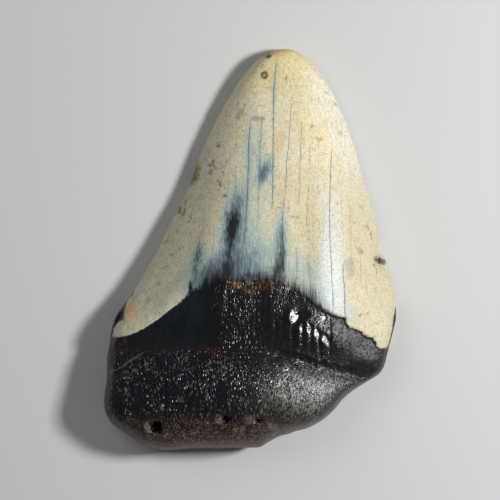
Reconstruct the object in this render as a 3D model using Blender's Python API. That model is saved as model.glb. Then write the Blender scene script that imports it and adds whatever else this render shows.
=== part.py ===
"""A waterworn fossil tooth of a giant shark, lying on its flat lip-side face.

One grown piece: an enamel crown, the dark neck band below it and the worn root.
X runs across the tooth, +Y towards the tip and +Z out of the rounded tongue-side face.
The origin is the middle of the bounding box, on the plane that the tooth rests on.
Run it with blender --background --python part.py, or from Blender's text editor.
"""

import math

import bmesh
import bpy
import numpy as np
from mathutils import Matrix, Vector, noise

MM = 0.001

# Outline, in millimetres (x, y), as four smooth stretches that share their corners.
BASE_EDGE = [
    (-38.4, -47.2), (-37.0, -48.6), (-33.2, -51.0), (-30.8, -52.9), (-28.9, -54.2), (-26.2, -54.7),
    (-23.5, -55.4), (-20.7, -55.4), (-15.3, -54.8), (-7.2, -54.8), (0.1, -54.6), (2.4, -54.9),
    (4.8, -53.3), (8.7, -51.1), (10.7, -50.9), (12.5, -50.0), (15.5, -49.4), (20.0, -47.0),
    (23.0, -44.3), (25.4, -41.3), (27.7, -39.2),
]
LEFT_EDGE = [
    (-38.4, -47.2), (-39.8, -43.9), (-39.9, -41.0), (-39.2, -35.6), (-39.1, -32.6), (-39.0, -28.8),
    (-38.4, -26.2), (-38.3, -24.1), (-37.8, -21.3), (-36.7, -18.1), (-35.3, -16.4), (-33.3, -13.8),
    (-30.0, -8.5), (-25.2, 0.1), (-22.1, 6.5), (-19.0, 12.2), (-17.1, 16.2), (-15.4, 20.8),
    (-13.1, 27.0), (-10.2, 33.3), (-7.4, 38.8), (-4.4, 43.7), (-1.2, 48.3), (2.5, 52.2),
]
RIGHT_EDGE = [
    (27.7, -39.2), (32.5, -36.3), (35.5, -34.5), (37.0, -32.4), (37.8, -29.2), (38.8, -25.4),
    (40.2, -20.2), (40.4, -17.6), (40.1, -12.8), (38.9, -7.9), (37.3, -2.3), (35.8, 3.2),
    (35.1, 7.6), (34.1, 11.1), (33.1, 14.7), (31.3, 19.4), (29.5, 27.1), (27.6, 32.0),
    (26.0, 37.0), (24.3, 40.3), (21.9, 45.2), (19.4, 48.5), (16.4, 51.8), (12.4, 54.6),
]
TIP_EDGE = [(2.5, 52.2), (5.0, 53.7), (7.6, 54.7), (10.6, 55.1), (12.4, 54.6)]

# The two lines that cross the rounded face from edge to edge.
FURROW = [
    (-38.6, -27.0), (-27.4, -26.9), (-15.0, -27.2), (0.1, -27.6), (9.0, -29.4), (18.0, -32.0),
    (26.3, -34.4), (34.6, -35.0),
]
ENAMEL_EDGE = [
    (-38.1, -24.5), (-33.4, -23.8), (-29.0, -21.9), (-24.6, -19.2), (-20.2, -15.4), (-16.4, -12.0),
    (-12.2, -9.9), (-8.1, -8.4), (3.4, -8.4), (9.2, -9.8), (14.4, -12.5), (22.4, -18.0),
    (26.1, -19.3), (30.4, -22.6), (35.1, -26.7), (38.3, -27.1),
]

# How many spans the surface has across the tooth and along each stretch of its length.
ACROSS, ROOT_SPANS, NECK_SPANS, CROWN_SPANS = 40, 15, 7, 27
EDGE_CROWDING = 0.45  # share of the spans that crowd towards the edges

# Stations along the length: y, then the rim's height above the table, the tongue side's rise above
# the rim, the share of that rise already reached at the edge, and how far in the edge is rounded.
STATIONS = [
    # y,    rim, rise, edge share, rounding
    (-56.0, 6.0, 9.8, 0.58, 4.2),    # foot of the root
    (-47.0, 6.8, 13.0, 0.50, 3.2),   # root's belly
    (-38.0, 6.4, 13.0, 0.46, 2.4),
    (-26.0, 5.4, 14.4, 0.34, 2.4),   # neck
    (-10.0, 3.6, 14.4, 0.18, 2.2),   # foot of the crown
    (15.0, 2.4, 11.4, 0.11, 1.5),    # middle of the crown
    (38.0, 2.3, 7.3, 0.14, 1.4),     # shoulder
    (56.0, 2.8, 3.6, 0.42, 2.0),     # tip
]
CROSS_POWER = 2.35  # 2 makes each cross-section a parabola between its edges
SMOOTH_RIM = 3.5  # how far in from the outline the furrow, the swellings and the lumps fade out

FURROW_DEPTH = 1.5
FURROW_REACH = (0.16, 0.4)  # in stretches of the length: the root's, then the neck's
ENAMEL_STEP = 0.7
ENAMEL_STEP_RUN = 0.45
ENAMEL_RIM = 1.5  # how far in from the outline the enamel's step fades out
BEVEL_WIDTH = 5.0  # worn facet along the crown's right edge
BEVEL_DEPTH = 0.9
BEVEL_ENDS = (-4.0, 50.0)  # its lowest and highest y
BEVEL_FADE = 11.0
# Swellings of the tongue side: centre x, y, reach x, y, and height.
SWELLINGS = [
    (2.0, -38.0, 30.0, 16.0, 3.3),   # the root's larger lobe
    (-24.0, -38.0, 13.0, 10.0, 0.7), # and the smaller one
    (26.0, -25.0, 10.0, 7.0, 0.5),   # smooth end of the neck band
    (15.0, -23.0, 9.0, 5.5, 0.6),    # fluted part of the neck band
]
ROOT_LUMPS = [(9.0, 0.4), (4.5, 0.25)]  # size and height of the root's uneven surface
LUMPS_LAYER = 0.37  # which layer of the noise the lumps are taken from
LUMPS_END = (0.6, 1.2)  # levels over which those lumps fade out

TIP_LIFT = 1.6  # how far the lip side rises from the table at the tip
TIP_LIFT_FROM = 18.0
# Shallow hollows in the lip side: centre x, y, reach x, y, and depth.
LIP_HOLLOWS = [(0.0, -19.0, 17.0, 9.0, 0.9), (-4.0, -50.0, 12.0, 12.0, 1.3)]

# Chips knocked out of the rim: centre x, y, z, half-sizes, and turn about Z in degrees.
CHIPS = {
    "tip_nick": ((5.1, 54.3, 5.0), (1.3, 1.2, 6.0), -30),
    "edge_notch": ((37.3, 0.4, 5.0), (2.7, 2.7, 12.0), 0),
    "edge_chip": ((37.0, -3.6, 7.3), (3.1, 2.4, 3.2), -35),
    "side_chip": ((-17.0, 19.6, 5.2), (1.9, 4.6, 3.0), -20),
    "left_shelf": ((-36.9, -18.4, 8.9), (3.0, 5.8, 4.0), -24),
    "right_shelf": ((41.2, -19.5, 9.2), (2.7, 8.5, 4.2), 3),
}
# Nutrient holes in the root: centre x, y, half-sizes across and along, and depth.
NUTRIENT_HOLES = {
    "large_hole": ((-25.4, -48.4), (1.6, 1.5), 2.8),
    "middle_hole": ((-6.5, -46.3), (1.1, 1.0), 2.2),
    "right_hole": ((2.1, -46.6), (0.85, 0.85), 1.7),
}
# Grooves between the flutes of the neck band: centre x, y, half-width and half-length.
NECK_GROOVES = {
    "groove_1": ((-6.9, -13.6), (0.45, 5.2)),
    "groove_2": ((1.6, -20.0), (0.4, 6.0)),
    "groove_3": ((8.5, -19.9), (0.55, 5.0)),
    "groove_4": ((11.7, -22.6), (0.5, 3.8)),
    "groove_5": ((14.2, -23.9), (0.45, 3.9)),
    "groove_6": ((16.6, -24.0), (0.45, 3.1)),
    "groove_7": ((18.9, -24.6), (0.4, 2.4)),
    "groove_8": ((21.7, -22.4), (0.6, 4.6)),
    "hollow_over_flutes": ((14.9, -18.0), (2.4, 1.5)),
}
GROOVE_DEPTH = 0.5


def curve_between(a, b, c, d, t):
    """A Catmull-Rom curve from b to c, which knows the points before and after them."""
    bend = (2 * a - 5 * b + 4 * c - d) * t**2 + (3 * b - a - 3 * c + d) * t**3
    return 0.5 * (2 * b + (c - a) * t + bend)


def smooth_line(points, steps=10):
    """A dense curve through the points."""
    p = np.array([points[0], *points, points[-1]], float)
    a, b, c, d = (p[i : len(p) - 3 + i, None, :] for i in range(4))
    line = curve_between(a, b, c, d, (np.arange(steps) / steps)[None, :, None])
    return np.vstack([line.reshape(-1, 2), p[-1]])


def along(line, fractions):
    """Points of a line at fractions of its length."""
    run = np.concatenate([[0], np.cumsum(np.linalg.norm(np.diff(line, axis=0), axis=1))])
    at = np.asarray(fractions) * run[-1]
    return np.stack([np.interp(at, run, line[:, axis]) for axis in (0, 1)], axis=-1)


def cut_at(line, ends):
    """The stretches of a line between its points nearest to the ends."""
    stops = [0, *[int(np.argmin(np.linalg.norm(line - e, axis=1))) for e in ends], len(line) - 1]
    return [line[a : b + 1] for a, b in zip(stops, stops[1:])]


def crowded(count, share):
    """Fractions from 0 to 1, closer together towards both ends."""
    even = np.arange(count + 1) / count
    return (1 - share) * even + share * (0.5 - 0.5 * np.cos(math.pi * even))


def surface_grid():
    """Places (rows, columns, xy) of the surface, the level of each row and each column's fraction.

    Levels 0 to 1 are the root, 1 to 2 the neck band and 2 to 3 the crown.
    """
    across = crowded(ACROSS, EDGE_CROWDING)
    furrow = smooth_line(FURROW)
    enamel = smooth_line(ENAMEL_EDGE)
    step = np.array([0, ENAMEL_STEP_RUN])
    guides = [smooth_line(BASE_EDGE), furrow, enamel, enamel + step, smooth_line(TIP_EDGE)]
    left = cut_at(smooth_line(LEFT_EDGE), [g[0] for g in guides[1:4]])
    right = cut_at(smooth_line(RIGHT_EDGE), [g[-1] for g in guides[1:4]])
    rows, levels = [], []
    spans = (ROOT_SPANS, NECK_SPANS, 1, CROWN_SPANS)
    for k, (count, low, high) in enumerate(zip(spans, (0, 1, 2, 2), (1, 2, 2, 3))):
        lower, upper = along(guides[k], across), along(guides[k + 1], across)
        sides = crowded(count, EDGE_CROWDING) if k in (0, 3) else crowded(count, 0)
        for w in sides[: count + (k == 3)]:
            row = (1 - w) * lower + w * upper
            row += (1 - across)[:, None] * (along(left[k], w) - row[0])
            row += across[:, None] * (along(right[k], w) - row[-1])
            rows.append(row)
            levels.append(low + w * (high - low))
    return np.array(rows), np.array(levels), across


def edge_distance(places):
    """How far each place is from the outline, and from its right edge alone."""
    right = smooth_line(RIGHT_EDGE)
    outline = np.vstack([smooth_line(BASE_EDGE), right, smooth_line(LEFT_EDGE), smooth_line(TIP_EDGE)])
    flat = places.reshape(-1, 1, 2)
    shape = places.shape[:2]
    every = np.linalg.norm(flat - outline, axis=2).min(axis=1).reshape(shape)
    every[[0, -1], :] = 0
    every[:, [0, -1]] = 0
    return every, np.linalg.norm(flat - right, axis=2).min(axis=1).reshape(shape)


def eased(x):
    """0 below 0, 1 above 1, and an S between."""
    x = np.clip(x, 0, 1)
    return x * x * (3 - 2 * x)


def station_values(y):
    """Rim height, rise, edge share and rounding at each y, by smooth steps between the stations."""
    table = np.array(STATIONS)
    k = np.clip(np.searchsorted(table[:, 0], y) - 1, 0, len(table) - 2)
    lower, upper = table[k], table[k + 1]
    w = (y - lower[..., 0]) / (upper[..., 0] - lower[..., 0])
    before, after = table[np.maximum(k - 1, 0)], table[np.minimum(k + 2, len(table) - 1)]
    curve = curve_between(before, lower, upper, after, w[..., None])
    return [curve[..., i] for i in (1, 2, 3, 4)]


def rounded_edge(distance, reach):
    """A quarter ellipse: 0 at the rim, 1 from the reach inwards."""
    t = np.clip(distance / reach, 0, 1)
    return np.sqrt(1 - (1 - t) ** 2)


def lumps(places, size, height):
    """Gentle uneven swellings."""
    flat = places.reshape(-1, 2) / size
    found = [noise.noise(Vector((x, y, LUMPS_LAYER))) for x, y in flat]
    return height * np.array(found).reshape(places.shape[:2])


def mound(places, centre_x, centre_y, reach_x, reach_y):
    """1 at the centre, falling smoothly to 0 at the reach."""
    away = np.hypot((places[..., 0] - centre_x) / reach_x, (places[..., 1] - centre_y) / reach_y)
    return eased(1 - away)


def tongue_side(places, levels, across, distance, right_distance):
    """Heights of the rounded face that is seen from above."""
    y = places[..., 1]
    level = levels[:, None]
    rim, rise, edge_share, rounding = station_values(y)
    arch = 1 - np.abs(2 * across[None, :] - 1) ** CROSS_POWER
    height = rise * (edge_share + (1 - edge_share) * arch)
    inside = eased(distance / SMOOTH_RIM)
    furrow = np.where(level < 1, (level - 1) / FURROW_REACH[0], (level - 1) / FURROW_REACH[1])
    height -= FURROW_DEPTH * inside * np.exp(-(furrow**2))
    for *spot, swell in SWELLINGS:
        height += swell * inside * mound(places, *spot)
    on_root = 1 - eased((level - LUMPS_END[0]) / (LUMPS_END[1] - LUMPS_END[0]))
    for size, lump in ROOT_LUMPS:
        height += on_root * inside * lumps(places, size, lump)
    on_crown = np.arange(len(levels)) > ROOT_SPANS + NECK_SPANS
    height += ENAMEL_STEP * on_crown[:, None] * eased(distance / ENAMEL_RIM)
    low, high = BEVEL_ENDS
    bevel = eased((y - low) / BEVEL_FADE) * eased((high - y) / BEVEL_FADE)
    height -= BEVEL_DEPTH * bevel * (1 - eased(right_distance / BEVEL_WIDTH))
    return rim + height * rounded_edge(distance, rounding)


def lip_side(places, distance):
    """Heights of the flat face that the tooth lies on: 0 wherever it touches the table."""
    y = places[..., 1]
    rim, _, _, rounding = station_values(y)
    lift = TIP_LIFT * np.clip((y - TIP_LIFT_FROM) / (STATIONS[-1][0] - TIP_LIFT_FROM), 0, 1) ** 2
    for *spot, depth in LIP_HOLLOWS:
        lift = np.maximum(lift, depth * mound(places, *spot))
    return lift + (rim - lift) * (1 - rounded_edge(distance, rounding))


def body_mesh():
    """The closed surface, both faces as grids of quads that share the rim, and its box's middle."""
    places, levels, across = surface_grid()
    distance, right_distance = edge_distance(places)
    middle = (places.min(axis=(0, 1)) + places.max(axis=(0, 1))) / 2
    faces = {
        "top": tongue_side(places, levels, across, distance, right_distance),
        "under": lip_side(places, distance),
    }
    rows, columns = places.shape[:2]
    bm = bmesh.new()
    vertex = {}
    for face, heights in faces.items():
        for r in range(rows):
            for c in range(columns):
                on_rim = r in (0, rows - 1) or c in (0, columns - 1)
                if on_rim and face == "under":
                    vertex[face, r, c] = vertex["top", r, c]
                    continue
                x, y = places[r, c] - middle
                vertex[face, r, c] = bm.verts.new((x * MM, y * MM, heights[r, c] * MM))
    for face in faces:
        for r in range(rows - 1):
            for c in range(columns - 1):
                ring = [vertex[face, r, c], vertex[face, r, c + 1]]
                ring += [vertex[face, r + 1, c + 1], vertex[face, r + 1, c]]
                bm.faces.new(ring if face == "top" else ring[::-1])
    mesh = bpy.data.meshes.new("tooth")
    bm.to_mesh(mesh)
    bm.free()
    return mesh, middle


def egg(name, centre, half_sizes, turn=0.0):
    """An egg shape to cut from the tooth or add to it, sized and placed in metres."""
    bm = bmesh.new()
    bmesh.ops.create_icosphere(bm, subdivisions=2, radius=1.0)
    mesh = bpy.data.meshes.new(name)
    bm.to_mesh(mesh)
    bm.free()
    mesh.transform(Matrix.Diagonal((*half_sizes, 1.0)))
    shape = bpy.data.objects.new(name, mesh)
    shape.location = centre
    shape.rotation_euler.z = math.radians(turn)
    shape.hide_render = True
    shape.display_type = "WIRE"
    bpy.context.scene.collection.objects.link(shape)
    return shape


def join(body, tool, operation):
    """Adds an egg to the body or takes it out."""
    step = body.modifiers.new(tool.name, "BOOLEAN")
    step.operation = operation
    step.solver = "EXACT"
    step.object = tool


def on_face(body, middle, x, y):
    """The point of the tongue side over a place, in metres."""
    x, y = np.subtract((x, y), middle) * MM
    _, point, _, _ = body.ray_cast(Vector((x, y, 1)), Vector((0, 0, -1)))
    return point


def chip_rim(body, middle):
    for name, (centre, half_sizes, turn) in CHIPS.items():
        centre = Vector(np.subtract(centre, (*middle, 0))) * MM
        join(body, egg(name, centre, Vector(half_sizes) * MM, turn), "DIFFERENCE")


def sink_holes(body, middle):
    for name, (place, half_sizes, depth) in NUTRIENT_HOLES.items():
        sizes = Vector((*half_sizes, depth)) * MM
        join(body, egg(name, on_face(body, middle, *place), sizes), "DIFFERENCE")


def cut_grooves(body, middle):
    for name, (place, half_sizes) in NECK_GROOVES.items():
        sizes = Vector((*half_sizes, GROOVE_DEPTH)) * MM
        join(body, egg(name, on_face(body, middle, *place), sizes), "DIFFERENCE")


def fossil_material():
    material = bpy.data.materials.new("fossil")
    material.use_nodes = True
    surface = material.node_tree.nodes["Principled BSDF"]
    surface.inputs["Base Color"].default_value = (0.62, 0.55, 0.38, 1)
    surface.inputs["Roughness"].default_value = 0.35
    surface.inputs["Metallic"].default_value = 0.0
    return material


def build_tooth():
    mesh, middle = body_mesh()
    mesh.materials.append(fossil_material())
    tooth = bpy.data.objects.new("tooth", mesh)
    bpy.context.scene.collection.objects.link(tooth)
    bpy.context.view_layer.update()
    cut_grooves(tooth, middle)
    chip_rim(tooth, middle)
    sink_holes(tooth, middle)
    return tooth


for leftover in list(bpy.data.objects):
    bpy.data.objects.remove(leftover)
build_tooth()
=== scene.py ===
"""The look of a waterworn fossil shark tooth, lying on its flat lip side.

The tooth grew as one piece, so one skin stands for its solid: the solid's facets are smoothed away,
then the ragged enamel ledge, the cracks, flutes, pores and nutrient holes are carved into it.
One material finishes it. Masks painted on the skin say where the enamel, the dark neck band, the
root and their stains lie, and where highlights and shade are painted into the colour. Sizes are in
millimetres, and metres only where Blender is given them.
"""

import math
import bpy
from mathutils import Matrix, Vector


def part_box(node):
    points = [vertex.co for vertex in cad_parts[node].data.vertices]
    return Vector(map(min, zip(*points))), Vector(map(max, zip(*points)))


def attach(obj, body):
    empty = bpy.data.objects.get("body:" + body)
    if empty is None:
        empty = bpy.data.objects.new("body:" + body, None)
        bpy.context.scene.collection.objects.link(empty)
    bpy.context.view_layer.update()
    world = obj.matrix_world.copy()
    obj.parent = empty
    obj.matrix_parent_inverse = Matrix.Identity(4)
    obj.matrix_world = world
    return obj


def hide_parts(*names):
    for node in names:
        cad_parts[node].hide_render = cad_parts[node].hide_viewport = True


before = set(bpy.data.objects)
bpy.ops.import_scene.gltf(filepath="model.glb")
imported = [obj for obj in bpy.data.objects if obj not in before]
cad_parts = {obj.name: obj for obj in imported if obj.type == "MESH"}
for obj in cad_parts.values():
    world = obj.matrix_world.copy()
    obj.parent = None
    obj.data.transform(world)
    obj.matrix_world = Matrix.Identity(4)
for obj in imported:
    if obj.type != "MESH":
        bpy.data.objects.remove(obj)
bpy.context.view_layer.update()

from types import SimpleNamespace

import bmesh
import bpy
import numpy as np
from mathutils import Vector, noise

MM = 0.001

# Lines and spots below are measured from a point this far from the middle of the tooth's box.
MEASURED_MIDDLE = np.array([0.21, -0.18])

SAME_POINT = 0.001  # corners of the solid that lie closer than this are one
VOXEL = 0.7  # of the even skin, before its upper side is split once more
UPPER_FROM = 1.0  # height from which the skin is split finer
UPPER_LEVEL = 0.3  # and how much it has to face upwards there
FACING_UP = (-0.15, 0.25)  # the normal's rise over which the lower side becomes the upper side
EVEN_ROUNDS = 4  # of evening out before the split
FINE_ROUNDS = 2  # and after it
EVENING = 0.5  # share of the way to its neighbours' mean that a point moves in a round
IRON_ROUNDS = 18  # of levelling the heights, between those two
IRONING = 0.6
OUTLINE_STEPS = 240  # directions in which the outline is measured
RIM_KEPT = 3.2  # how far in from the outline the ironing reaches its full strength

# The enamel's ragged foot and the furrow between the neck band and the root, from left to right.
ENAMEL_FOOT = [
    (-42.0, -25.0), (-38.6, -24.6), (-37.8, -24.3), (-35.6, -24.2), (-33.4, -23.8), (-31.2, -23.0),
    (-29.0, -21.9), (-26.8, -20.5), (-24.6, -19.1), (-23.0, -17.7), (-21.6, -16.6), (-19.4, -15.0),
    (-17.5, -13.3), (-15.8, -11.4), (-13.6, -10.6), (-11.7, -9.8), (-8.9, -8.4), (-5.4, -8.4),
    (-1.8, -8.9), (1.8, -8.7), (5.6, -8.1), (9.2, -9.8), (12.0, -10.9), (14.4, -12.5), (16.4, -14.2),
    (18.0, -15.5), (20.5, -16.9), (22.4, -18.0), (24.6, -18.6), (26.0, -18.8), (26.3, -20.5),
    (27.1, -21.3), (28.2, -21.7), (29.3, -22.1), (30.7, -22.8), (31.2, -23.5), (32.3, -24.1),
    (33.6, -24.3), (33.7, -24.9), (34.4, -25.6), (34.5, -26.5), (35.2, -27.1), (35.9, -27.3),
    (37.0, -27.2), (37.8, -26.8), (39.7, -26.5), (42.0, -26.4),
]
FURROW = [
    (-42.0, -26.8), (-38.4, -27.0), (-27.4, -26.9), (-15.0, -27.2), (0.1, -27.6), (9.0, -29.4),
    (18.0, -32.0), (26.3, -34.4), (34.6, -35.0), (42.0, -35.2),
]

# Where the enamel has chipped off the lower corners: its edge there, from the top down.
LEFT_SHELF = [
    (-36.0, 2.0), (-32.0, -8.5), (-30.9, -10.0), (-32.0, -12.7), (-33.2, -13.9), (-33.7, -15.3),
    (-34.3, -17.4), (-34.2, -19.3), (-35.3, -19.8), (-36.6, -21.0), (-37.2, -22.3), (-37.4, -24.3),
    (-37.6, -30.0),
]
RIGHT_SHELF = [
    (44.0, -10.0), (40.4, -15.0), (39.6, -17.5), (39.1, -21.0), (38.6, -23.8), (37.8, -26.8),
    (37.0, -30.0),
]

# Hairline cracks down the enamel, each from its top: strength, then its places.
CRACKS = [
    (1.0, [(7.3, 51.0), (7.0, 48.0), (6.6, 43.3), (6.5, 37.5), (6.4, 29.3), (6.3, 16.4), (6.1, 11.4)]),
    (0.5, [(3.4, 35.6), (2.9, 29.3), (2.5, 16.6), (2.3, 8.7), (1.8, 5.1)]),
    (0.9, [(0.2, 34.0), (-0.3, 27.9), (-0.5, 16.4), (-0.8, 11.4), (-1.3, 4.8), (-1.6, 1.8)]),
    (0.4, [(-3.8, 22.7), (-3.9, 10.0)]),
    (0.35, [(-5.4, 27.1), (-5.8, 17.2), (-6.3, 12.2), (-6.8, 8.7)]),
    (0.5, [(-9.5, 5.6), (-9.9, 1.8), (-10.3, -2.6), (-11.6, -9.8)]),
    (0.5, [(-13.4, 4.3), (-13.9, 0.7), (-15.0, -4.5), (-15.4, -7.6)]),
    (0.7, [(11.3, 39.2), (10.6, 27.9), (10.0, 23.5), (10.0, 20.5), (9.4, 13.9), (8.9, 8.7), (8.9, 3.4),
           (9.1, -0.4), (8.8, -5.6), (8.7, -9.8)]),
    (0.6, [(14.3, 34.8), (13.9, 27.1), (13.6, 16.6), (13.3, 12.2)]),
    (0.6, [(16.4, 27.9), (16.0, 16.6), (15.5, 8.7), (15.4, 4.8)]),
    (0.4, [(18.8, 29.3), (18.6, 19.1), (18.4, 13.9)]),
    (0.9, [(22.4, 27.1), (22.1, 21.0), (21.9, 15.0), (21.8, 10.3), (21.8, 4.0), (22.1, -1.8),
           (22.3, -6.5), (22.7, -14.2), (22.6, -18.6)]),
    (0.5, [(12.6, 0.7), (12.8, -5.9), (12.8, -12.0)]),
    (0.5, [(16.1, -4.0), (16.4, -9.8), (16.6, -14.2)]),
    (0.9, [(25.4, -4.0), (25.5, -7.0), (25.9, -12.5), (25.8, -16.6), (26.3, -20.5)]),
    (0.35, [(30.2, -3.2), (30.4, -9.8)]),
    (0.35, [(31.8, -7.0), (31.9, -12.0)]),
    (0.5, [(9.5, -1.5), (12.4, -2.1), (13.9, -2.3)]),
    (0.35, [(27.4, 12.0), (27.6, 3.0), (27.9, -6.0)]),
    (0.3, [(25.0, 16.0), (25.2, 6.0)]),
    (0.3, [(19.9, 14.0), (20.0, 2.0)]),
    (0.3, [(-12.2, 12.0), (-12.9, 3.0)]),
]
CRACK_END = 2.5  # length over which a crack runs out
CRACK_LINE = 0.208  # how far from its middle the crack's dark line fades out
CRACK_REACH = 0.3  # half the width of its groove
CRACK_DEPTH = 0.04

# Spots and smears: x, y, half-width, half-length, lean to the right in degrees, strength.
DARK_SMEARS = [
    (-4.6, 6.0, 1.7, 4.6, 12, 1.1), (-5.4, 8.8, 1.4, 2.0, 20, 0.6), (-3.2, 9.0, 0.8, 4.2, 16, 0.4),
    (-5.4, 0.6, 0.9, 5.4, 6, 0.8), (-6.1, -7.4, 1.6, 4.6, 6, 1.0), (-4.0, -3.4, 1.0, 2.6, 0, 0.3),
    (8.9, -3.4, 0.8, 5.6, 2, 0.8), (8.8, 2.2, 0.5, 5.0, 2, 0.35), (7.6, -6.6, 1.7, 4.8, 12, 0.85),
    (0.8, -8.1, 5.0, 1.8, 0, 0.6), (1.6, -5.6, 1.6, 1.8, 0, 0.35),
    (-13.9, -1.6, 1.2, 3.0, 18, 0.55), (-14.4, -4.0, 0.6, 5.6, 6, 0.4), (-16.0, -11.0, 0.6, 2.8, 0, 0.9),
    (-11.9, -9.6, 0.6, 2.8, 4, 0.9), (12.2, -11.2, 0.5, 2.8, 0, 0.8), (-9.0, -8.6, 1.8, 2.2, 0, 0.8),
]
DARK_SPOTS = [
    (3.6, 49.8, 0.3, 0.3, 0, 0.5), (10.1, 46.4, 0.22, 1.0, 0, 0.8), (-2.5, 37.0, 0.5, 2.1, 28, 0.35),
    (-3.2, 39.5, 0.5, 0.35, 0, 0.5), (-1.1, 39.5, 0.35, 0.5, 30, 0.5), (2.1, 35.5, 1.5, 0.8, 0, 0.4),
    (3.4, 35.3, 0.6, 0.7, 0, 0.6), (-8.5, 27.9, 0.5, 0.4, 0, 0.8), (-3.5, 32.4, 0.3, 0.25, 0, 0.6),
    (4.5, 25.7, 0.35, 0.4, 0, 0.6), (-8.1, 17.6, 0.45, 0.8, -20, 0.8), (-6.6, 14.4, 0.6, 0.4, 0, 0.9),
    (-10.6, 20.8, 0.35, 0.7, 0, 0.5), (-7.3, 20.8, 0.35, 0.4, 0, 0.5), (-10.2, 22.6, 0.45, 1.4, -60, 0.75),
    (-9.9, 23.6, 0.35, 0.9, 10, 0.7), (16.9, 33.0, 0.25, 1.1, 30, 0.5), (19.1, 29.8, 0.8, 0.7, 0, 0.35),
    (24.8, 31.6, 0.9, 0.6, 30, 0.35), (23.8, 39.2, 0.3, 0.9, -35, 0.5), (21.3, 42.5, 0.5, 0.4, 0, 0.4),
    (20.7, 26.0, 0.5, 0.4, 0, 0.4), (-19.1, 10.6, 0.7, 1.1, 20, 0.7), (-17.9, 9.9, 0.5, 1.2, 25, 0.6),
    (-17.5, 13.1, 0.3, 1.3, 30, 0.5), (-23.0, -5.1, 0.25, 1.2, 60, 0.6), (-22.5, 2.3, 0.25, 1.1, 35, 0.5),
    (-19.9, 4.6, 0.4, 0.4, 0, 0.4), (32.2, 5.8, 0.25, 1.0, -30, 0.5), (33.2, 3.6, 0.25, 1.0, -25, 0.6),
    (30.0, -0.6, 0.6, 1.5, -50, 0.35), (27.6, -6.6, 1.0, 1.8, 30, 0.3), (30.8, 11.4, 0.3, 0.8, 0, 0.35),
    (12.4, 8.4, 1.2, 0.35, 0, 0.3), (5.1, 52.6, 0.9, 0.7, -20, 0.9), (35.7, -3.3, 1.8, 0.9, 25, 1.0),
    (34.3, -5.2, 0.2, 1.8, -12, 0.6), (30.1, -18.3, 0.45, 0.6, 0, 0.55), (32.3, -17.7, 0.35, 0.6, 0, 0.55),
    (34.5, -20.2, 1.5, 0.14, 0, 0.4), (27.0, -4.4, 1.3, 2.0, 25, 0.3), (-27.5, -14.0, 0.3, 1.0, 50, 0.45),
    (-25.0, -9.8, 0.3, 0.5, 0, 0.5), (-21.0, -1.5, 0.25, 1.0, 40, 0.45), (-16.4, 8.0, 0.25, 1.2, 25, 0.5),
]
BLUE_ZONES = [
    (-5.1, 2.9, 3.6, 9.0, 4, 0.75), (-3.4, 12.0, 2.4, 5.0, 10, 0.4), (-7.6, -7.0, 6.5, 5.5, 0, 1.05),
    (1.5, -3.5, 6.0, 8.0, 0, 0.6), (8.5, 2.3, 1.8, 8.0, 4, 0.65), (13.5, -7.0, 7.0, 8.0, -10, 0.45),
    (19.5, -13.0, 5.0, 3.4, -45, 0.5), (21.5, 2.0, 2.0, 11.0, 0, 0.2), (26.0, -13.0, 2.0, 7.0, 0, 0.3),
    (-12.8, -10.0, 5.5, 5.0, 30, 0.6), (-13.9, -1.0, 2.2, 6.0, 12, 0.4), (3.4, 18.8, 5.5, 15.0, 0, 0.3),
    (0.1, 29.0, 3.6, 12.0, 0, 0.25), (-3.2, 9.2, 5.0, 9.0, 0, 0.2), (4.4, 21.4, 1.5, 2.9, 25, 0.62),
    (3.4, 19.6, 0.9, 2.2, 10, 0.4), (-24.0, -17.0, 8.0, 2.8, 62, 0.3), (28.0, -18.2, 2.2, 3.2, 0, 0.3),
    (6.7, 43.0, 1.3, 7.0, 0, 0.25),
]
OCHRE_SPOTS = [
    (9.6, 34.5, 1.2, 0.22, 0, 0.6), (11.1, 22.4, 0.6, 0.5, 0, 0.4), (17.0, 20.8, 0.9, 0.8, 0, 0.4),
    (9.0, 53.6, 2.2, 1.2, -10, 0.4), (-32.2, -17.2, 1.5, 2.6, 10, 0.8), (-31.8, -13.6, 0.6, 0.7, 0, 0.8),
    (-34.0, -20.2, 0.7, 1.0, 20, 0.6), (33.6, 1.5, 1.2, 1.4, 0, 0.35), (8.0, 29.6, 1.4, 3.0, 0, 0.3),
    (10.6, 17.0, 2.2, 4.0, 0, 0.25), (27.0, -11.0, 1.6, 3.0, 0, 0.25),
]
RUST_SPOTS = [(-15.2, 20.4, 1.3, 3.2, 20, 1.0), (-36.6, -25.2, 3.0, 0.9, -10, 0.4)]
OCHRE_FLECKS = [
    (-3.6, -9.0, 2.2, 2.2, 0, 0.9), (0.6, -10.0, 3.0, 2.4, 0, 1.0), (6.6, -8.0, 2.4, 3.4, 0, 0.8),
    (10.6, -10.6, 3.0, 1.0, -35, 0.7), (-36.4, -25.0, 2.6, 1.0, 10, 0.7), (-37.6, -29.0, 1.6, 4.0, 0, 0.3),
]
RING_SPOT = (4.1, 47.4, 0.95, 1.05, 0, 1.0)
RING_OUTSIDE = (1.25, 0.85)  # shares of the ring's size over which it darkens
RING_INSIDE = (0.75, 0.35)  # and pales again
RING_PALING = 0.45

# Grooves of the neck band: x, y, half-width, half-length, depth.
NECK_GROOVES = [
    (-5.9, -13.6, 0.22, 6.0, 0.15), (1.5, -18.6, 0.22, 6.5, 0.12), (7.0, -21.7, 0.25, 4.0, 0.15),
    (11.6, -23.2, 0.3, 3.8, 0.12), (14.2, -24.0, 0.3, 3.0, 0.12), (16.6, -25.0, 0.3, 2.8, 0.12),
    (18.9, -26.2, 0.3, 2.2, 0.2), (21.9, -24.4, 0.3, 5.6, 0.2), (14.7, -18.0, 1.2, 1.2, 0.3),
    (4.6, -17.0, 0.25, 3.0, 0.1), (-10.0, -19.0, 0.22, 3.2, 0.12),
]
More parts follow.
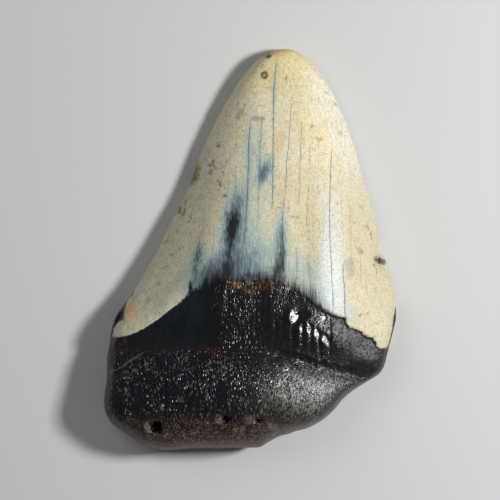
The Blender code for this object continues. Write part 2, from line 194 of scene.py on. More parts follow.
# Flutes between them: x, y, half-width, half-length, lean, height.
NECK_FLUTES = [
    (13.2, -23.6, 0.8, 2.4, 0, 0.16), (15.7, -24.8, 0.8, 2.0, 0, 0.14), (17.9, -26.2, 0.7, 1.6, 0, 0.14),
    (-13.2, -20.3, 0.7, 0.8, 0, 0.2), (-9.3, -18.4, 0.6, 1.6, 20, 0.2), (-7.3, -13.8, 0.5, 5.0, 12, 0.12),
]
# Their worn upper ends and the band's smooth right end, as tilted facets:
# x, y, half-width, half-length, lean, tilt in x and y.
NECK_FACETS = [
    (11.9, -18.7, 2.0, 2.2, -15, -0.36, 0.04), (14.1, -21.2, 1.1, 1.5, -10, -0.36, -0.10),
    (16.0, -21.8, 1.2, 1.9, -25, -0.34, -0.12), (18.1, -23.2, 1.2, 2.0, -25, -0.28, -0.08),
    (20.3, -24.8, 1.2, 1.9, -30, -0.30, -0.16), (20.1, -18.9, 0.9, 0.9, 0, -0.2, 0.0),
    (33.0, -27.6, 5.5, 3.6, -20, 0.04, -0.15),
    (-13.4, -20.3, 0.5, 0.6, 0, -0.4, 0.0), (-9.4, -18.4, 0.5, 0.8, 20, -0.4, 0.0),
]
POLISHED_FACETS = 6  # how many of them, from the first, are also polished
# The crown's long low ridge, which carries its highlight: x, y, half-width, half-length, height.
CROWN_RIDGE = [(20.0, -2.0, 3.6, 18.0, 0.48)]
# Nutrient holes: x, y, half-width, half-length, depth.
NUTRIENT_HOLES = [
    (-25.3, -48.6, 1.55, 1.6, 1.6), (-6.4, -46.4, 1.15, 1.0, 1.3), (2.1, -46.7, 0.8, 0.8, 1.0),
]
# Pale marks on the root. The first three are painted light: the left inner walls of the nutrient holes, as
# lit from the right. The rest are the root's own pale patches.
PALE_SPOTS_AND_LIT_WALLS = [
    (-27.9, -48.4, 0.65, 1.4, 0, 0.9), (-8.2, -46.3, 0.8, 1.2, 0, 0.8), (0.0, -46.6, 1.3, 1.3, 0, 0.6),
    (-1.8, -48.8, 0.8, 0.6, 0, 0.6), (6.2, -48.2, 1.5, 1.1, 20, 0.7), (-22.4, -50.4, 0.5, 0.4, 0, 0.8),
    (-23.6, -43.0, 0.3, 0.9, -5, 0.9), (-31.0, -32.9, 0.3, 0.5, 0, 0.7), (-25.3, -33.4, 0.3, 0.5, 0, 0.7),
    (-10.7, -31.0, 0.3, 0.6, 0, 0.7), (-11.4, -39.8, 0.25, 0.9, 0, 0.7), (-1.1, -42.3, 0.25, 1.1, 5, 0.8),
    (-34.7, -28.3, 0.3, 0.5, 0, 0.6),
]
# The root's larger lobe, worn smoother than the rest. Its paler grey is a painted highlight that stands in
# for the key light's sheen on it.
LARGE_LOBE = (18.5, -38.4, 11.0, 7.0, -12, 1.1)
ROOT_HAIRLINE = [(-38.8, -34.1), (-35.4, -32.3), (-34.4, -32.0), (-31.8, -30.1), (-29.3, -28.7)]
HAIRLINE_REACH = 0.35

# Masks that are painted from the lists of spots, each with its list and how soft its edges are.
SMOOTH_MASKS = {
    "dark": (DARK_SMEARS, 0.8),
    "fleck": (OCHRE_FLECKS, 0.6),
    "facet": ([(*facet[:5], 1.0) for facet in NECK_FACETS[:POLISHED_FACETS]], 0.3),
}
RAGGED_MASKS = {
    "spot": (DARK_SPOTS, 0.35),
    "ochre": (OCHRE_SPOTS, 0.5),
    "pale": (PALE_SPOTS_AND_LIT_WALLS, 0.35),
    "hole": ([(*hole[:4], 0, 1.0) for hole in NUTRIENT_HOLES], 0.2),
}
RUST_SOFTNESS = 0.5

LEDGE = 0.34  # half the step that the enamel's foot stands proud
LEDGE_CREASE = 0.22  # how softly the step turns over at its lip
LEDGE_REACH = 1.6  # how far from the lip it dies away
LEDGE_WORN = 0.25  # share of it that is left in the middle of the tooth
LEDGE_CRISP = [(14.0, 22.0), (-10.0, -16.0)]  # x over which it is whole again, right and left
ENAMEL_BLEND = 0.25  # how far to either side of its line the enamel gives way to the neck band
ROOT_BLEND = 1.25  # and the neck band to the root
FURROW_CUT = (0.9, 2.0)  # how deep the furrow's bottom is cut, and half its width
FURROW_CUT_FROM = (2.5, 10.0)  # x over which the cut sets in
LOBE_LUMPS_WORN = 0.7  # shares of the root's relief that are worn off its larger lobe
LOBE_GRAIN_WORN = 0.5
RIM_GRAIN = (3.0, 1.0)  # distance from the outline over which the root's grain doubles
HOLE_SLOPE = 1.35  # how far out a nutrient hole's slope starts, in shares of its size
RELIEF_RIM = 1.2  # how far in from the outline the relief fades out
GRAIN_RIM = 0.5  # and the root's grain

# Uneven relief: size across, size along, height, and where in the noise it is taken from.
ENAMEL_WAVES = (2.6, 22.0, 0.03, 3.1)
NECK_GRAIN = (0.9, 3.0, 0.05, 7.7)
ROOT_GRAIN = (0.8, 1.1, 0.08, 11.3)
ROOT_LUMPS = (3.4, 4.6, 0.2, 17.9)
FURROW_LUMPS = (1.3, 1.7, 0.15, 19.1)
FURROW_WANDER = (2.2, 2.2, 1.1, 23.3)
RAGGED_ACROSS = (0.9, 0.9, 0.7, 23.1)
RAGGED_ALONG = (0.9, 0.9, 0.7, 29.3)

# Grains of the finish: width, length, where in the noise they are taken from, and detail.
GRAINS = {
    "enamel edge": (0.5, 1.2, 1.0, 2.0),
    "enamel comb": (0.45, 5.0, 1.5, 3.0),
    "warmth": (6.0, 11.0, 2.0, 3.0),
    "streaks": (0.45, 16.0, 3.0, 3.0),
    "mottle": (1.0, 1.5, 3.2, 4.0),
    "tawny streaks": (0.4, 9.0, 3.4, 3.0),
    "blue clouds": (2.5, 5.0, 3.7, 3.0),
    "sand": (0.3, 0.36, 4.5, 2.0),
    "stain wear": (0.7, 0.9, 6.0, 3.0),
    "smear strands": (0.5, 3.0, 7.0, 4.0),
    "fringe strands": (0.4, 3.5, 7.5, 3.0),
    "crack breaks": (0.5, 1.6, 8.0, 2.0),
    "crown highlight grain": (0.6, 5.0, 21.0, 3.0),
    "neck brown": (0.5, 1.2, 9.0, 2.0),
    "neck teal": (3.0, 6.0, 9.5, 3.0),
    "neck flecks": (0.35, 1.8, 10.0, 5.0),
    "neck strokes": (0.3, 2.4, 17.0, 2.0),
    "neck sheen": (3.0, 3.0, 20.0, 2.0),
    "root brown": (4.0, 4.0, 11.0, 3.0),
    "root waves": (3.0, 3.0, 12.0, 3.0),
    "root patches": (5.0, 5.0, 14.0, 2.0),
    "pits": (0.3, 0.5, 16.0, 2.0),
    "pale mark breakup": (0.5, 0.6, 19.0, 2.0),
    "lobe highlight patches": (0.5, 0.8, 22.0, 2.0),
}
# Dots of the finish: width and length of their cells, seed, size, and share of the cells with one.
ENAMEL_SPECKS = (0.9, 1.0, 4.0, 0.25, 0.5)
ENAMEL_DOTS = (0.95, 1.1, 5.0, 0.17, 0.6)
FOOT_DOTS = (0.42, 0.46, 18.0, 0.5, 0.75)
DASH_DOTS = {"width": 0.42, "seed": 15.0, "size": 0.48, "share": 0.6}
DASH_LENGTH = (1.25, 0.75)  # on the root, and on its larger lobe
DASH_LEAN = 0.75  # how far the dashes lean over on that lobe
DASH_LEAN_FROM = (2.0, 16.0)  # x over which the lean sets in
DASH_LEAN_MIDDLE = -40.0  # y about which they lean
SMALLEST_DOT = 0.5  # a dot's size is multiplied by this at least, and by 1 more at most
FAINTEST_DOT = 0.3  # the least strength of a dot; the most is 1
DOME_REACH = 0.85  # how far a raised dome reaches, in cells

# Heights of the grain that is too fine to carve. A pair holds in the two places named beside it.
SAND_HEIGHT = (0.045, 0.12)  # enamel, its glossy band
STREAK_HEIGHT = 0.03
ROOT_DASH_HEIGHT = (0.21, 0.15)  # root, its larger lobe
ROOT_PIT_HEIGHT = (0.06, 0.13)  # root, its worn places
NECK_STROKE_HEIGHT = (0.02, 0.04)  # neck band's smooth left end, the rest
NECK_PIT_HEIGHT = (0.03, 0.10)
NECK_DASH_HEIGHT = 0.12
FACET_GRAIN = 0.25  # share of the neck band's grain that is left on its polished facets

ENAMEL_ROUGHNESS = (0.55, 0.35)  # enamel, its glossy band
ROOT_ROUGHNESS = (0.24, 0.27)  # root, its larger lobe
NECK_ROUGHNESS = (0.24, 0.2)  # neck band, its polished facets
FURROW_ROUGHNESS = 0.24
DULL_ROUGHNESS = 0.42  # the root's foot, and the neck band's right end
FLOOR_ROUGHNESS = 0.85
TOOTH_IOR = 1.5

# Colours, from 0 to 255.
CREAM = (230, 221, 188)
WARM_CREAM = (230, 209, 148)
PALE_CREAM = (230, 226, 208)
GREY_CREAM = (202, 200, 182)
TAN_CREAM = (198, 188, 154)
TAWNY = (196, 166, 104)
MOTTLE_GREY = (176, 172, 152)
SPECK = (112, 92, 60)
ENAMEL_DOT = (84, 70, 46)
HIGHLIGHT_WHITE = (206, 214, 214)
PALE_BLUE = (170, 189, 182)
BLUE_GREY = (98, 120, 130)
DEEP_BLUE = (44, 56, 66)
STAIN = (22, 27, 31)
OCHRE = (216, 164, 88)
RUST = (150, 104, 40)
FLECK = (150, 112, 50)
CRACK_GREY = (50, 60, 66)
NECK_BLACK = (15, 16, 18)
NECK_TEAL = (18, 27, 33)
NECK_BROWN = (38, 30, 22)
ROOT_BLUE = (13, 15, 21)
ROOT_BROWN = (27, 22, 18)
ROOT_RED = (44, 15, 14)
FOOT_BROWN = (44, 26, 20)
PALE_GRAIN_AND_LIT_WALL = (118, 114, 102)
DASH_GREY = (138, 137, 130)
LOBE_PAINTED_HIGHLIGHT = (132, 134, 130)
FOOT_GRAIN = (156, 134, 108)
HOLE_SHADE_BLACK = (4, 4, 4)
FLOOR_GREY = (205, 205, 203)

# The studio, in metres. Lights: direction from the tooth, distance, side, and power in watts.
KEY_LIGHT = ((0.700, 0.098, 0.707), 0.55, 0.09, 3.1)
FILL_LIGHT = ((-0.6, 0.4, 1.0), 0.8, 0.5, 1.3)
SKY_COLOUR = (0.9, 0.95, 1.0)
SKY_STRENGTH = 0.1
FLOOR_REACH = 3.0
CAMERA_HEIGHT = 1.3
FRAME_SIDE = 0.1375  # what the camera sees of the floor
FRAME_MIDDLE = (0.14, -0.41)  # in millimetres, measured as the lines and spots are
SENSOR_WIDTH = 36.0


def eased(x):
    """0 below 0, 1 above 1, and an S between."""
    x = np.clip(x, 0, 1)
    return x * x * (3 - 2 * x)


def ramp(x, low, high):
    """0 at low, 1 at high, and an S between."""
    return eased((x - low) / (high - low))


def measured(points):
    """Measured places, moved to the tooth's own frame."""
    return np.asarray(points, float)[..., :2] - MEASURED_MIDDLE


def distance_to(places, line):
    """How far each place is from a line of points."""
    nearest = np.full(len(places), 1e9)
    for a, b in zip(line, line[1:]):
        run = b - a
        share = np.clip((places - a) @ run / (run @ run), 0, 1)
        nearest = np.minimum(nearest, np.linalg.norm(places - a - share[:, None] * run, axis=1))
    return nearest


def above(places, line):
    """Signed distance over a line that runs from left to right: positive on the tip's side."""
    side = np.sign(places[:, 1] - np.interp(places[:, 0], line[:, 0], line[:, 1]))
    return side * distance_to(places, line)


def beside(places, line):
    """Signed distance from a line that runs down the tooth: positive on its right."""
    line = line[::-1]
    side = np.sign(places[:, 0] - np.interp(places[:, 1], line[:, 1], line[:, 0]))
    return side * distance_to(places, line)


def enamel_gap(places):
    """How far inside the enamel each place is: negative off it."""
    gap = above(places, measured(ENAMEL_FOOT))
    gap = np.minimum(gap, beside(places, measured(LEFT_SHELF)))
    return np.minimum(gap, -beside(places, measured(RIGHT_SHELF)))


def spot_distance(places, spot):
    """Distance from a spot's middle: 1 on its edge."""
    x, y, half_width, half_length, lean = spot[:5]
    across, along = (places - measured((x, y))).T
    s, c = math.sin(math.radians(lean)), math.cos(math.radians(lean))
    return np.hypot((across * c - along * s) / half_width, (across * s + along * c) / half_length)


def spots(places, listed, softness):
    """The strongest of the listed spots at each place, with edges of this softness."""
    field = np.zeros(len(places))
    for spot in listed:
        reach = eased((1 + softness - spot_distance(places, spot)) / (2 * softness))
        field = np.maximum(field, spot[5] * reach)
    return field


def clouds(places, listed):
    """The sum of the listed spots, each fading out from its middle."""
    return sum(spot[5] * np.exp(-(spot_distance(places, spot) ** 2)) for spot in listed)


def ridges(places, listed):
    """The sum of rounded ridges: x, y, half-width, half-length, (lean,) height."""
    field = np.zeros(len(places))
    for x, y, half_width, half_length, *lean, height in listed:
        away = spot_distance(places, (x, y, half_width, half_length, *(lean or [0])))
        field += height * np.exp(-(away**2))
    return field


def facets(places):
    """The neck band's worn facets, each a small tilted plane."""
    field = np.zeros(len(places))
    for *spot, tilt_x, tilt_y in NECK_FACETS:
        offset = places - measured(spot[:2])
        field += offset @ (tilt_x, tilt_y) * np.exp(-(spot_distance(places, spot) ** 4))
    return field


def crack_fields(places):
    """Signed distance from the nearest crack, alternating from crack to crack, and its strength.

    The sign flips only on a crack, so the distance is smooth everywhere else.
    """
    x, y = places.T
    nearest = np.full(len(places), 1e9)
    strength = np.zeros(len(places))
    sign = np.ones(len(places))
    for power, line in CRACKS:
        line = measured(line)[::-1]
        gap = x - np.interp(y, line[:, 1], line[:, 0])
        low, high = line[0, 1], line[-1, 1]
        inside = eased((y - low) / CRACK_END + 0.5) * eased((high - y) / CRACK_END + 0.5)
        sign = np.where(gap > 0, -sign, sign)
        closer = np.abs(gap) < nearest
        nearest = np.where(closer, np.abs(gap), nearest)
        strength = np.where(closer, power * inside, strength)
    return sign * nearest, strength


def rough(points, across, along, height, seed):
    """Uneven relief whose lumps are this wide, this long and this high."""
    scaled = points / (across, along, (across + along) / 2) + seed
    return height * np.array([noise.noise(Vector(p)) for p in scaled])


def ragged(points):
    """Places seen from above, unsettled so that the edges of spots come out ragged."""
    shift = [rough(points, *RAGGED_ACROSS), rough(points, *RAGGED_ALONG)]
    return points[:, :2] + np.column_stack(shift)


def neighbour_means(edges, values):
    """The mean of the values at each point's neighbours."""
    count = len(values)
    totals = np.zeros_like(values)
    for a, b in (edges.T, edges.T[::-1]):
        for axis in range(values.shape[1]):
            totals[:, axis] += np.bincount(a, values[b, axis], count)
    return totals / np.maximum(np.bincount(edges.ravel(), minlength=count), 1)[:, None]


def outline_of(points):
    """The tooth's outline from above: its furthest point in each direction from its middle."""
    turn = np.arctan2(points[:, 1], points[:, 0])
    sector = ((turn + math.pi) / (2 * math.pi) * OUTLINE_STEPS).astype(int) % OUTLINE_STEPS
    order = np.argsort(np.hypot(points[:, 0], points[:, 1]))
    furthest = {s: points[i, :2] for s, i in zip(sector[order], order)}
    ring = [furthest[s] for s in sorted(furthest)]
    return np.array([*ring, ring[0]])


def mesh_arrays(mesh):
    points = np.empty(len(mesh.vertices) * 3)
    mesh.vertices.foreach_get("co", points)
    edges = np.empty(len(mesh.edges) * 2, int)
    mesh.edges.foreach_get("vertices", edges)
    return points.reshape(-1, 3) / MM, edges.reshape(-1, 2)


def set_points(mesh, points):
    mesh.vertices.foreach_set("co", (points * MM).ravel())
    mesh.update()


def even_skin(node):
    """The solid's surface as even small quads."""
    solid = bpy.data.objects.new("tooth_skin", node.data.copy())
    bpy.context.scene.collection.objects.link(solid)
    bm = bmesh.new()
    bm.from_mesh(solid.data)
    bmesh.ops.remove_doubles(bm, verts=bm.verts, dist=SAME_POINT * MM)
    bm.to_mesh(solid.data)
    bm.free()
    remesh = solid.modifiers.new("even", "REMESH")
    remesh.mode = "VOXEL"
    remesh.voxel_size = VOXEL * MM
    settled = solid.evaluated_get(bpy.context.evaluated_depsgraph_get())
    mesh = bpy.data.meshes.new_from_object(settled)
    bpy.data.objects.remove(solid)
    return mesh


def split_upper_side(mesh):
    """Splits every quad of the upper side into four."""
    bm = bmesh.new()
    bm.from_mesh(mesh)
    high = [face for face in bm.faces if face.calc_center_median().z > UPPER_FROM * MM]
    upper = [face for face in high if face.normal.z > UPPER_LEVEL]
    edges = {edge for face in upper for edge in face.edges}
    bmesh.ops.subdivide_edges(bm, edges=list(edges), cuts=1, use_grid_fill=True)
    bm.to_mesh(mesh)
    bm.free()


def evened(points, edges, rounds):
    """The points, each moved towards the mean of its neighbours in every round."""
    for _ in range(rounds):
        points = points + EVENING * (neighbour_means(edges, points) - points)
    return points


def smooth_skin(mesh, outline):
    """Irons the facets away, without drawing in the outline."""
    points, edges = mesh_arrays(mesh)
    points = evened(points, edges, EVEN_ROUNDS)
    inward = eased(distance_to(points[:, :2], outline) / RIM_KEPT)
    for _ in range(IRON_ROUNDS):
        height = points[:, 2:]
        points[:, 2:] += IRONING * inward[:, None] * (neighbour_means(edges, height) - height)
    set_points(mesh, points)


def ledge_relief(x, enamel):
    """The step at the enamel's foot: crisp at both sides, nearly worn away between."""
    crisp = sum(ramp(x, *stretch) for stretch in LEDGE_CRISP)
    height = LEDGE * (LEDGE_WORN + (1 - LEDGE_WORN) * crisp)
    return height * np.tanh(enamel / LEDGE_CREASE) * np.exp(-np.abs(enamel) / LEDGE_REACH)


def enamel_relief(points, places):
    """The crown's low ridge, its long waves and its hairline cracks."""
    crack, strength = crack_fields(places)
    groove = strength * CRACK_DEPTH * np.exp(-((crack / CRACK_REACH) ** 2))
    return rough(points, *ENAMEL_WAVES) + ridges(places, CROWN_RIDGE) - groove


def furrow_relief(points, furrow):
    """The furrow's sharper bottom, cut along a wandering line to the right."""
    depth, half_width = FURROW_CUT
    wandering = furrow + rough(points, *FURROW_WANDER)
    cut = np.clip(1 - np.abs(wandering) / half_width, 0, 1) * ramp(points[:, 0], *FURROW_CUT_FROM)
    return cut * (rough(points, *FURROW_LUMPS) - depth)


def hole_relief(points):
    """The nutrient holes, with ragged rims."""
    torn = ragged(points)
    relief = np.zeros(len(points))
    for *hole, depth in NUTRIENT_HOLES:
        relief -= depth * eased(HOLE_SLOPE - spot_distance(torn, (*hole, 0)))
    return relief


def carve(points, upper, outline):
    """Heights to add to the skin for everything finer than the solid's own shape."""
    places = points[:, :2]
    inward = distance_to(places, outline)
    enamel = enamel_gap(places)
    furrow = above(places, measured(FURROW))
    off_enamel = 1 - ramp(enamel, -ENAMEL_BLEND, ENAMEL_BLEND)
    on_root = ramp(furrow, ROOT_BLEND, -ROOT_BLEND)
    on_neck = off_enamel * (1 - on_root)
    lobe = clouds(places, [LARGE_LOBE])
    relief = ledge_relief(places[:, 0], enamel)
    relief += (1 - off_enamel) * enamel_relief(points, places)
    relief += on_neck * (rough(points, *NECK_GRAIN) - ridges(places, NECK_GROOVES))
    relief += off_enamel * (ridges(places, NECK_FLUTES) + facets(places))
    relief += on_root * (1 - LOBE_LUMPS_WORN * lobe) * rough(points, *ROOT_LUMPS)
    relief += furrow_relief(points, furrow)
    relief += hole_relief(points)
    coarseness = 1 - LOBE_GRAIN_WORN * lobe + ramp(inward, *RIM_GRAIN)
    grain = on_root * coarseness * rough(points, *ROOT_GRAIN)
    return upper * (relief * eased(inward / RELIEF_RIM) + grain * eased(inward / GRAIN_RIM))


def paint_masks(mesh, points, upper, outline):
    """Keeps on the skin, per point, where each tissue, stain and crack is, and where light and shade are
    painted.
    """
    places = points[:, :2]
    torn = ragged(points)
    crack, strength = crack_fields(places)
    ring = spot_distance(places, RING_SPOT)
    masks = {
        "enamel": enamel_gap(places),
        "furrow": above(places, measured(FURROW)),
        "inward": distance_to(places, outline),
        "crack": crack,
        "crack_strength": strength * upper,
        "ring": (ramp(ring, *RING_OUTSIDE) - RING_PALING * ramp(ring, *RING_INSIDE)) * upper,
        "blue": clouds(places, BLUE_ZONES) * upper,
        "rust": spots(torn, RUST_SPOTS, RUST_SOFTNESS),
        "lobe": clouds(places, [LARGE_LOBE]) * upper,
        "hairline": ramp(distance_to(torn, measured(ROOT_HAIRLINE)), HAIRLINE_REACH, 0) * upper,
    }
    for where, listed in ((places, SMOOTH_MASKS), (torn, RAGGED_MASKS)):
        for name, (spot_list, softness) in listed.items():
            masks[name] = spots(where, spot_list, softness) * upper
    for name, values in masks.items():
        mask = mesh.attributes.new(name, "FLOAT", "POINT")
        mask.data.foreach_set("value", values.astype(np.float32))


def upper_side(mesh):
    """1 where the skin faces up, 0 where it faces down."""
    normals = np.empty(len(mesh.vertices) * 3)
    mesh.vertex_normals.foreach_get("vector", normals)
    return ramp(normals.reshape(-1, 3)[:, 2], *FACING_UP)


def build_tooth_skin(node):
    """The solid's surface, smoothed and carved, with its masks, kept inside the solid's box."""
    low, high = (np.array(corner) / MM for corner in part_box("tooth"))
    mesh = even_skin(node)
    outline = outline_of(mesh_arrays(mesh)[0])
    smooth_skin(mesh, outline)
    split_upper_side(mesh)
    points = evened(*mesh_arrays(mesh), FINE_ROUNDS)
    set_points(mesh, points)
    upper = upper_side(mesh)
    points[:, 2] += carve(points, upper, outline)
    set_points(mesh, np.clip(points, low, high))
    paint_masks(mesh, points, upper, outline)
    mesh.polygons.foreach_set("use_smooth", np.ones(len(mesh.polygons), bool))
    skin = bpy.data.objects.new("tooth_skin", mesh)
    bpy.context.scene.collection.objects.link(skin)
    return skin


def colour(srgb):
    """A colour of 0 to 255 as Blender's own light values."""
    parts = [c / 255 for c in srgb]
    return (*[p / 12.92 if p <= 0.04045 else ((p + 0.055) / 1.055) ** 2.4 for p in parts], 1.0)


class Recipe:
    """Adds nodes to a material or a group, and wires them as it goes."""

    def __init__(self, tree):
        self.tree = tree

    def feed(self, socket, value):
        if isinstance(value, bpy.types.NodeSocket):
            self.tree.links.new(value, socket)
        else:
            socket.default_value = value

    def node(self, kind, inputs=(), **settings):
        made = self.tree.nodes.new("ShaderNode" + kind)
        for name, value in settings.items():
            setattr(made, name, value)
        for key, value in dict(inputs).items():
            self.feed(made.inputs[key], value)
        return made

    def maths(self, operation, a, b=0.0, c=0.0, clamp=False):
        made = self.node("Math", {0: a, 1: b, 2: c}, operation=operation, use_clamp=clamp)
        return made.outputs[0]

    def plus(self, a, b):
        return self.maths("ADD", a, b)

    def times(self, a, b):
        return self.maths("MULTIPLY", a, b)

    def larger(self, a, b):
        return self.maths("MAXIMUM", a, b)

    def absolute(self, a):
        return self.maths("ABSOLUTE", a)

    def between(self, value, low, high):
        """0 at low, 1 at high, and an S between."""
        inputs = {"Value": value, "From Min": low, "From Max": high}
        return self.node("MapRange", inputs, interpolation_type="SMOOTHSTEP").outputs[0]

    def mask(self, name):
        return self.node("Attribute", attribute_name=name).outputs["Fac"]

    def mix(self, share, a, b):
        made = self.node("Mix", data_type="RGBA")
        colours = [s for s in made.inputs if s.type == "RGBA"]
        self.feed(made.inputs[0], share)
        for socket, value in zip(colours, (a, b)):
            self.feed(socket, colour(value) if isinstance(value, tuple) else value)
        return made.outputs[2]

    def tint(self, base, share, strength, paint):
        """The base colour, painted over where share is high, at this strength."""
        return self.mix(self.times(share, strength), base, paint)

    def blend(self, share, a, b):
        """A number that goes from a to b."""
        made = self.node("Mix", data_type="FLOAT")
        for socket, value in zip((made.inputs[0], made.inputs[2], made.inputs[3]), (share, a, b)):
            self.feed(socket, value)
        return made.outputs[0]

    def group(self, made, **inputs):
        placed = self.node("Group")
        placed.node_tree = made
        for name, value in inputs.items():
            self.feed(placed.inputs[name.replace("_", " ")], value)
        return placed.outputs


def new_group(name, inputs, outputs):
    """An empty node group with these named sockets: its recipe, what comes in, what goes out."""
    tree = bpy.data.node_groups.new(name, "ShaderNodeTree")
    for socket, kind, value in inputs:
        made = tree.interface.new_socket(socket, in_out="INPUT", socket_type="NodeSocket" + kind)
        if value is not None:
            made.default_value = value
    for socket, kind in outputs:
        tree.interface.new_socket(socket, in_out="OUTPUT", socket_type="NodeSocket" + kind)
    came = tree.nodes.new("NodeGroupInput").outputs
    goes = tree.nodes.new("NodeGroupOutput").inputs
    return Recipe(tree), came, goes


def grain_group():
    """Grain of a given width and length, from 0 to 1."""
    sockets = [("Place", "Vector", None), ("Width", "Float", 1.0), ("Length", "Float", 1.0)]
    sockets += [("Seed", "Float", 0.0), ("Detail", "Float", 2.0)]
    recipe, came, goes = new_group("fossil_grain", sockets, [("Grain", "Float")])
    size = recipe.node("CombineXYZ", {0: came["Width"], 1: came["Length"], 2: came["Width"]})
    scaled = recipe.node("VectorMath", {0: came["Place"], 1: size.outputs[0]}, operation="DIVIDE")
    inputs = {"Vector": scaled.outputs[0], "W": came["Seed"], "Scale": 1.0, "Detail": came["Detail"]}
    grain = recipe.node("TexNoise", inputs, noise_dimensions="4D")
    recipe.feed(goes["Grain"], grain.outputs[0])
    return recipe.tree


def dots_group():
    """Dots of a given width and length, one in some of the cells, each of its own size."""
    sockets = [("Place", "Vector", None), ("Width", "Float", 1.0), ("Length", "Float", 1.0)]
    sockets += [("Seed", "Float", 0.0), ("Size", "Float", 0.4), ("Share", "Float", 1.0)]
    made = [("Dot", "Float"), ("Dome", "Float")]
    recipe, came, goes = new_group("fossil_dots", sockets, made)
    size = recipe.node("CombineXYZ", {0: came["Width"], 1: came["Length"], 2: came["Width"]})
    scaled = recipe.node("VectorMath", {0: came["Place"], 1: size.outputs[0]}, operation="DIVIDE")
    moved = recipe.node("VectorMath", {0: scaled.outputs[0], 1: came["Seed"]}, operation="ADD")
    cells = recipe.node("TexVoronoi", {"Vector": moved.outputs[0], "Scale": 1.0})
    lots = recipe.node("SeparateColor", {0: cells.outputs["Color"]}).outputs
    reach = recipe.maths("DIVIDE", cells.outputs["Distance"], recipe.plus(lots[0], SMALLEST_DOT))
    kept = recipe.maths("LESS_THAN", lots[1], came["Share"])
    dot = recipe.between(reach, came["Size"], recipe.times(came["Size"], 0.5))
    shade = recipe.blend(lots[2], FAINTEST_DOT, 1.0)
    recipe.feed(goes["Dot"], recipe.times(dot, recipe.times(kept, shade)))
    dome = recipe.times(recipe.between(reach, DOME_REACH, 0.0), lots[1])
    recipe.feed(goes["Dome"], dome)
    return recipe.tree


class FossilRecipe(Recipe):
    """A recipe that knows its place on the tooth and has the fossil's own groups to hand."""

    def __init__(self, tree):
        super().__init__(tree)
        self.grain_tree, self.dots_tree = grain_group(), dots_group()
        position = self.node("TexCoord").outputs["Object"]
        inputs = {0: position, "Scale": 1 / MM}
        self.place = self.node("VectorMath", inputs, operation="SCALE").outputs[0]
        self.across, self.along, self.up = self.node("SeparateXYZ", {0: self.place}).outputs

    def grain(self, name, place=None):
        """One of the listed grains, from 0 to 1."""
        width, length, seed, detail = GRAINS[name]
        return self.group(self.grain_tree, Place=place or self.place, Width=width, Length=length,
                          Seed=seed, Detail=detail)[0]

    def patches(self, name, low, high):
        """Patches of this grain: 0 where it is under low, 1 where it is over high."""
        return self.between(self.grain(name), low, high)

    def waver(self, name, size, middle=0.5):
        """A number that wanders around 0 with this grain."""
        return self.times(self.plus(self.grain(name), -middle), size)

    def dots(self, width, length, seed, size, share, place=None):
        return self.group(self.dots_tree, Place=place or self.place, Width=width, Length=length,
                          Seed=seed, Size=size, Share=share)


def leaning_place(r):
    """The place on the tooth, sheared so that the grain leans over on the root's larger lobe."""
    lean = r.times(r.between(r.across, *DASH_LEAN_FROM), DASH_LEAN)
    below = r.plus(r.along, -DASH_LEAN_MIDDLE)
    sheared = r.maths("MULTIPLY_ADD", below, r.times(lean, -1.0), r.across)
    return r.node("CombineXYZ", {0: sheared, 1: r.along, 2: r.up}).outputs[0]


def tooth_fields(r):
    """What several parts of the finish share: where each tissue lies, and the common grains."""
    f = SimpleNamespace()
    f.middle = r.times(r.between(r.across, -22.0, -10.0), r.between(r.across, 26.0, 16.0))
    ragged_line = r.waver("enamel edge", 0.9)
    combed = r.times(r.waver("enamel comb", 5.5, middle=0.54), f.middle)
    f.edge = r.plus(r.mask("enamel"), r.plus(ragged_line, combed))
    f.on_enamel = r.between(f.edge, r.blend(f.middle, -0.12, -1.0), r.blend(f.middle, 0.12, 1.6))
    f.on_root = r.between(r.plus(r.mask("furrow"), r.times(ragged_line, 4.0)), 1.6, -1.6)
    f.streaks = r.grain("streaks")
    f.sand = r.grain("sand")

    line = r.between(r.absolute(r.mask("crack")), CRACK_LINE, 0.0)
    f.crack = r.times(r.times(line, r.mask("crack_strength")), r.patches("crack breaks", 0.25, 0.5))

    # The root's grain stands up as short dashes.
    leaning = leaning_place(r)
    length = r.blend(r.mask("lobe"), *DASH_LENGTH)
    f.dashes, f.domes = r.dots(length=length, place=leaning, **DASH_DOTS)
    f.pits = r.grain("pits", place=leaning)
    f.foot = r.between(r.along, -46.0, -51.0)

    gloss = r.times(r.between(r.across, 14.0, 18.0), r.between(r.across, 29.0, 24.0))
    f.gloss = r.times(gloss, r.between(r.along, 20.0, 4.0))
    return f


def clouded_enamel(r, f):
    """Cream, warmer at the tip, tan at the lower right, greyer to the left (partly painted shade), pale on
    the bevel.
    """
    near_tip = r.times(r.between(r.along, 38.0, 53.0), 0.8)
    warmth = r.plus(r.times(r.patches("warmth", 0.45, 0.68), 0.6), near_tip)
    enamel = r.mix(r.maths("MINIMUM", warmth, 1.0), CREAM, WARM_CREAM)
    bevel = r.times(r.between(r.mask("inward"), 6.5, 3.5), r.between(r.across, 12.0, 21.0))
    bevel = r.times(bevel, r.between(r.along, -4.0, 8.0))
    enamel = r.tint(enamel, bevel, 0.8, PALE_CREAM)
    # Greyer to the left: partly the enamel's own grey tone, partly painted shade on the side turned away
    # from the key light.
    enamel = r.tint(enamel, r.between(r.across, 4.0, -22.0), 0.6, GREY_CREAM)
    lower_right = r.times(r.between(r.across, 6.0, 26.0), r.between(r.along, 34.0, 6.0))
    enamel = r.tint(enamel, lower_right, 0.75, TAN_CREAM)
    enamel = r.tint(enamel, r.between(f.streaks, 0.5, 0.72), 0.35, GREY_CREAM)
    tawny = r.times(r.patches("tawny streaks", 0.52, 0.7), r.between(r.across, -4.0, 12.0))
    enamel = r.tint(enamel, tawny, 0.35, TAWNY)
    mottling = r.blend(r.between(r.across, 6.0, -14.0), 0.32, 0.52)
    return r.tint(enamel, r.patches("mottle", 0.46, 0.68), mottling, MOTTLE_GREY)


